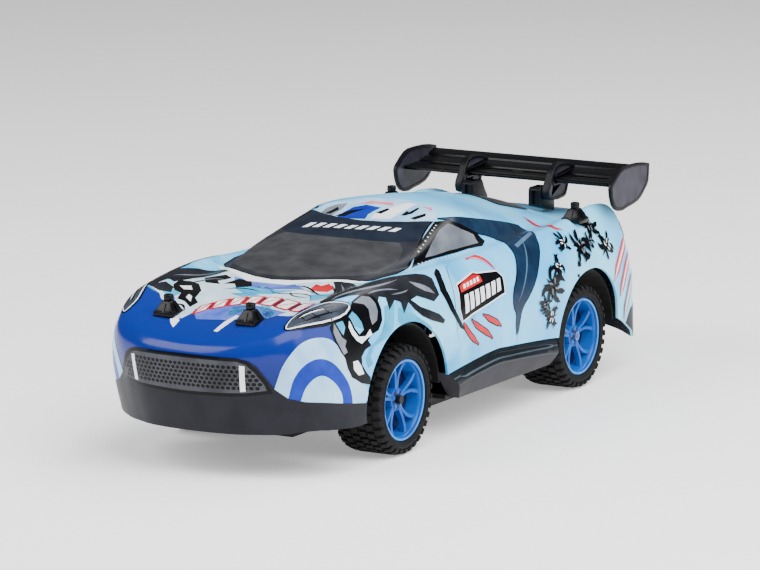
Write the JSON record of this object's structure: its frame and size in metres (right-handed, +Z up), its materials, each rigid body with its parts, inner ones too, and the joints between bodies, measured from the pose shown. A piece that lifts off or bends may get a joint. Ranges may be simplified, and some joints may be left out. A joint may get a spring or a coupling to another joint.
{
  "type": "remote control car",
  "caption": "Toy remote control sports car with a lift-off printed shell, rear wing, spoked wheels, steered front axle and geared rear drive.",
  "frame": {"origin": "on the ground, under the middle of the whole car's bounding box", "axes": "+Z up, -Y forwards to the nose, +Y backwards to the tail, +X to the car's left side"},
  "size_m": [0.1316, 0.3425, 0.1056],
  "materials": {
    "printed_shell": "gloss, printed",
    "black_plastic": "satin",
    "chassis_plastic": "fine grain",
    "rim_plastic": "gloss",
    "tyre_rubber": "matte rubber",
    "bright_steel": "plated",
    "white_plastic": "smooth",
    "battery_wrap": "shrink film",
    "board_green": "lacquered",
    "brass": "machined"
  },
  "bodies": {
    "chassis": {"chassis_plate": "chassis_plastic", "side_skirt_left": "black_plastic", "side_skirt_right": "black_plastic", "inner_fender_front_left": "black_plastic", "inner_fender_front_right": "black_plastic", "inner_fender_rear_left": "black_plastic", "inner_fender_rear_right": "black_plastic", "front_post_left": "black_plastic", "front_post_right": "black_plastic", "rear_post_bridge": "black_plastic", "battery_pack": "battery_wrap", "circuit_board": "board_green", "steering_servo": "chassis_plastic", "front_beam": "chassis_plastic", "kingpin_left": "bright_steel", "kingpin_right": "bright_steel", "gearbox_case_left": "chassis_plastic", "gearbox_case_right": "chassis_plastic", "axle_bush_left": "brass", "axle_bush_right": "brass", "drive_motor": "bright_steel"},
    "shell": {"body_shell": "printed_shell", "wing_blade": "black_plastic", "wing_end_plate_left": "black_plastic", "wing_end_plate_right": "black_plastic", "wing_upright_left": "black_plastic", "wing_upright_right": "black_plastic", "wing_foot_left": "black_plastic", "wing_foot_right": "black_plastic"},
    "knuckle_left": {"steering_knuckle_left": "black_plastic"},
    "knuckle_right": {"steering_knuckle_right": "black_plastic"},
    "tie_rod": {"tie_rod": "black_plastic"},
    "servo_horn": {"servo_horn": "white_plastic"},
    "wheel_front_left": {"tyre_front_left": "tyre_rubber", "rim_front_left": "rim_plastic", "wheel_nut_front_left": "rim_plastic"},
    "wheel_front_right": {"tyre_front_right": "tyre_rubber", "rim_front_right": "rim_plastic", "wheel_nut_front_right": "rim_plastic"},
    "rear_axle": {"rear_axle": "bright_steel", "spur_gear": "white_plastic", "tyre_rear_left": "tyre_rubber", "tyre_rear_right": "tyre_rubber", "rim_rear_left": "rim_plastic", "rim_rear_right": "rim_plastic", "wheel_nut_rear_left": "rim_plastic", "wheel_nut_rear_right": "rim_plastic"},
    "motor_pinion": {"motor_pinion": "brass"},
    "power_switch": {"power_switch": "white_plastic"},
    "battery_door": {"battery_door": "chassis_plastic"},
    "cap_front_left": {"body_cap_front_left": "black_plastic"},
    "cap_front_right": {"body_cap_front_right": "black_plastic"},
    "cap_rear_left": {"body_cap_rear_left": "black_plastic"},
    "cap_rear_right": {"body_cap_rear_right": "black_plastic"}
  },
  "joints": [
    {"name": "shell_lift", "type": "slide", "parent": "chassis", "child": "shell", "axis": [0, 0, 1], "range_m": [0, 0.06]},
    {"name": "cap_pull_front_left", "type": "slide", "parent": "shell", "child": "cap_front_left", "axis": [0, 0, 1], "range_m": [0, 0.02]},
    {"name": "cap_pull_front_right", "type": "slide", "parent": "shell", "child": "cap_front_right", "axis": [0, 0, 1], "range_m": [0, 0.02]},
    {"name": "cap_pull_rear_left", "type": "slide", "parent": "shell", "child": "cap_rear_left", "axis": [0, 0, 1], "range_m": [0, 0.02]},
    {"name": "cap_pull_rear_right", "type": "slide", "parent": "shell", "child": "cap_rear_right", "axis": [0, 0, 1], "range_m": [0, 0.02]},
    {"name": "steer_left", "type": "hinge", "parent": "chassis", "child": "knuckle_left", "pos_m": [0.036, -0.0752, 0.026], "axis": [0, 0, 1], "range_deg": [-20, 20]},
    {"name": "steer_right", "type": "hinge", "parent": "chassis", "child": "knuckle_right", "pos_m": [-0.036, -0.0752, 0.026], "axis": [0, 0, 1], "range_deg": [-20.5, 20.5]},
    {"name": "tie_rod_shift", "type": "slide", "parent": "chassis", "child": "tie_rod", "axis": [1, 0, 0], "range_m": [-0.0043, 0.0043]},
    {"name": "horn_turn", "type": "hinge", "parent": "chassis", "child": "servo_horn", "pos_m": [0, -0.0512, 0.0304], "axis": [0, 0, 1], "range_deg": [-20.5, 20.5]},
    {"name": "wheel_spin_front_left", "type": "hinge", "parent": "knuckle_left", "child": "wheel_front_left", "pos_m": [0.049, -0.0752, 0.026], "axis": [1, 0, 0], "continuous": true},
    {"name": "wheel_spin_front_right", "type": "hinge", "parent": "knuckle_right", "child": "wheel_front_right", "pos_m": [-0.049, -0.0752, 0.026], "axis": [1, 0, 0], "continuous": true},
    {"name": "rear_axle_spin", "type": "hinge", "parent": "chassis", "child": "rear_axle", "pos_m": [0, 0.1018, 0.026], "axis": [1, 0, 0], "continuous": true},
    {"name": "pinion_spin", "type": "hinge", "parent": "chassis", "child": "motor_pinion", "pos_m": [0, 0.08721, 0.02991], "axis": [1, 0, 0], "continuous": true},
    {"name": "switch_slide", "type": "slide", "parent": "chassis", "child": "power_switch", "axis": [0, 1, 0], "range_m": [0, 0.004]},
    {"name": "door_slide", "type": "slide", "parent": "chassis", "child": "battery_door", "axis": [0, -1, 0], "range_m": [0, 0.012]}
  ],
  "couplings": [
    {"joint": "steer_right", "follows": "steer_left", "ratio": 1},
    {"joint": "tie_rod_shift", "follows": "steer_left", "m_per_rad": -0.012},
    {"joint": "horn_turn", "follows": "steer_left", "ratio": -1},
    {"joint": "pinion_spin", "follows": "rear_axle_spin", "ratio": -4}
  ]
}
